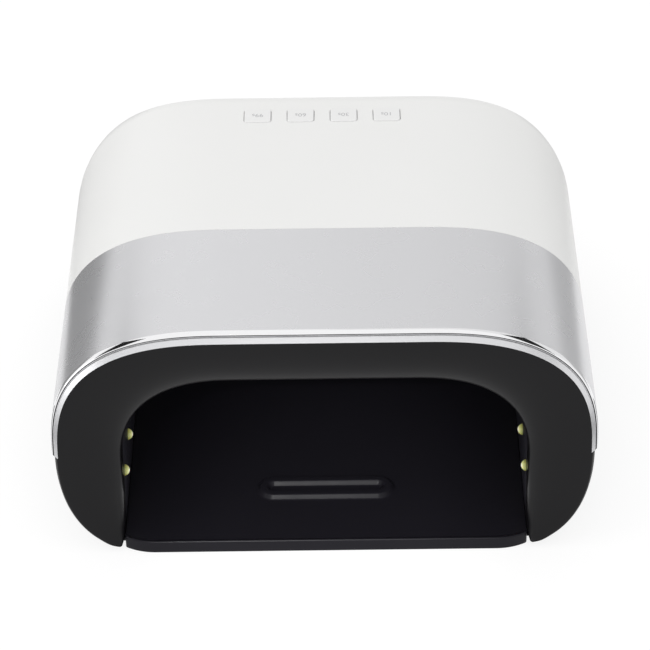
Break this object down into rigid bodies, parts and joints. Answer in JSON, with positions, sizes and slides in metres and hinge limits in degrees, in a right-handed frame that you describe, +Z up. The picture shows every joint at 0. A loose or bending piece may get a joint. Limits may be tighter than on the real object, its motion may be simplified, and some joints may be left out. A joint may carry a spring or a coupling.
{
  "type": "led nail lamp",
  "caption": "Arched desk lamp with a wide open hand cavity lit from its walls and ceiling, four push buttons on the deck and a lift-off floor tray.",
  "frame": {"origin": "middle of the bounding box's underside, on the table", "axes": "+X right as seen from the front, +Y towards the operator's side at the rear, +Z up; the cavity opens towards -Y"},
  "size_m": [0.225, 0.205, 0.1024],
  "materials": {
    "tray_black": "black, satin gloss",
    "pad_rubber": "matt rubber",
    "steel": "plated steel",
    "shell_white": "white, soft gloss",
    "band_silver": "satin silver paint",
    "bright_chrome": "mirror plated",
    "strip_silver": "pale satin silver paint",
    "bezel_black": "black, soft gloss",
    "liner_black": "black, gloss",
    "housing_black": "black, soft gloss",
    "board_metal": "white solder mask on aluminium",
    "led_lens": "pale yellow-green silicone",
    "sensor_dark": "dark infrared lens",
    "board_green": "green solder mask",
    "switch_black": "matt black",
    "window_black": "polished tinted acrylic",
    "capacitor_sleeve": "dark blue sleeve",
    "ferrite": "ferrite",
    "pin_metal": "nickel plated",
    "ribbon_grey": "grey flat cable",
    "button_white": "white, soft gloss, grey numerals"
  },
  "bodies": {
    "base": {"base_tray": "tray_black", "tray_pads": "pad_rubber", "tray_keepers": "steel"},
    "lamp": {"top_shell": "shell_white", "front_band": "band_silver", "chrome_trim": "bright_chrome", "front_strip": "strip_silver", "front_bezel": "bezel_black", "cavity_liner": "liner_black", "lower_housing": "housing_black", "led_board_ceiling": "board_metal", "led_board_left": "board_metal", "led_board_right": "board_metal", "led_board_rear": "board_metal", "leds_ceiling": "led_lens", "leds_left": "led_lens", "leds_right": "led_lens", "leds_rear": "led_lens", "hand_sensor": "sensor_dark", "control_board": "board_green", "switch_bodies": "switch_black", "display_window": "window_black", "display_module": "switch_black", "power_board": "board_green", "capacitors": "capacitor_sleeve", "inductor": "ferrite", "dc_jack": "switch_black", "dc_pin": "pin_metal", "ribbon_cables": "ribbon_grey", "housing_magnets": "steel", "housing_screws": "steel", "control_screws": "steel", "power_screws": "steel"},
    "key_99": {"button_99": "button_white", "plunger_99": "switch_black"},
    "key_60": {"button_60": "button_white", "plunger_60": "switch_black"},
    "key_30": {"button_30": "button_white", "plunger_30": "switch_black"},
    "key_10": {"button_10": "button_white", "plunger_10": "switch_black"}
  },
  "joints": [
    {"name": "tray_release", "type": "slide", "parent": "base", "child": "lamp", "axis": [0, 0, 1], "range_m": [0, 0.04]},
    {"name": "press_99", "type": "slide", "parent": "lamp", "child": "key_99", "axis": [0, 0, -1], "range_m": [0, 0.0006], "stiffness_N_per_m": 400, "springref_m": -0.001},
    {"name": "press_60", "type": "slide", "parent": "lamp", "child": "key_60", "axis": [0, 0, -1], "range_m": [0, 0.0006], "stiffness_N_per_m": 400, "springref_m": -0.001},
    {"name": "press_30", "type": "slide", "parent": "lamp", "child": "key_30", "axis": [0, 0, -1], "range_m": [0, 0.0006], "stiffness_N_per_m": 400, "springref_m": -0.001},
    {"name": "press_10", "type": "slide", "parent": "lamp", "child": "key_10", "axis": [0, 0, -1], "range_m": [0, 0.0006], "stiffness_N_per_m": 400, "springref_m": -0.001}
  ]
}
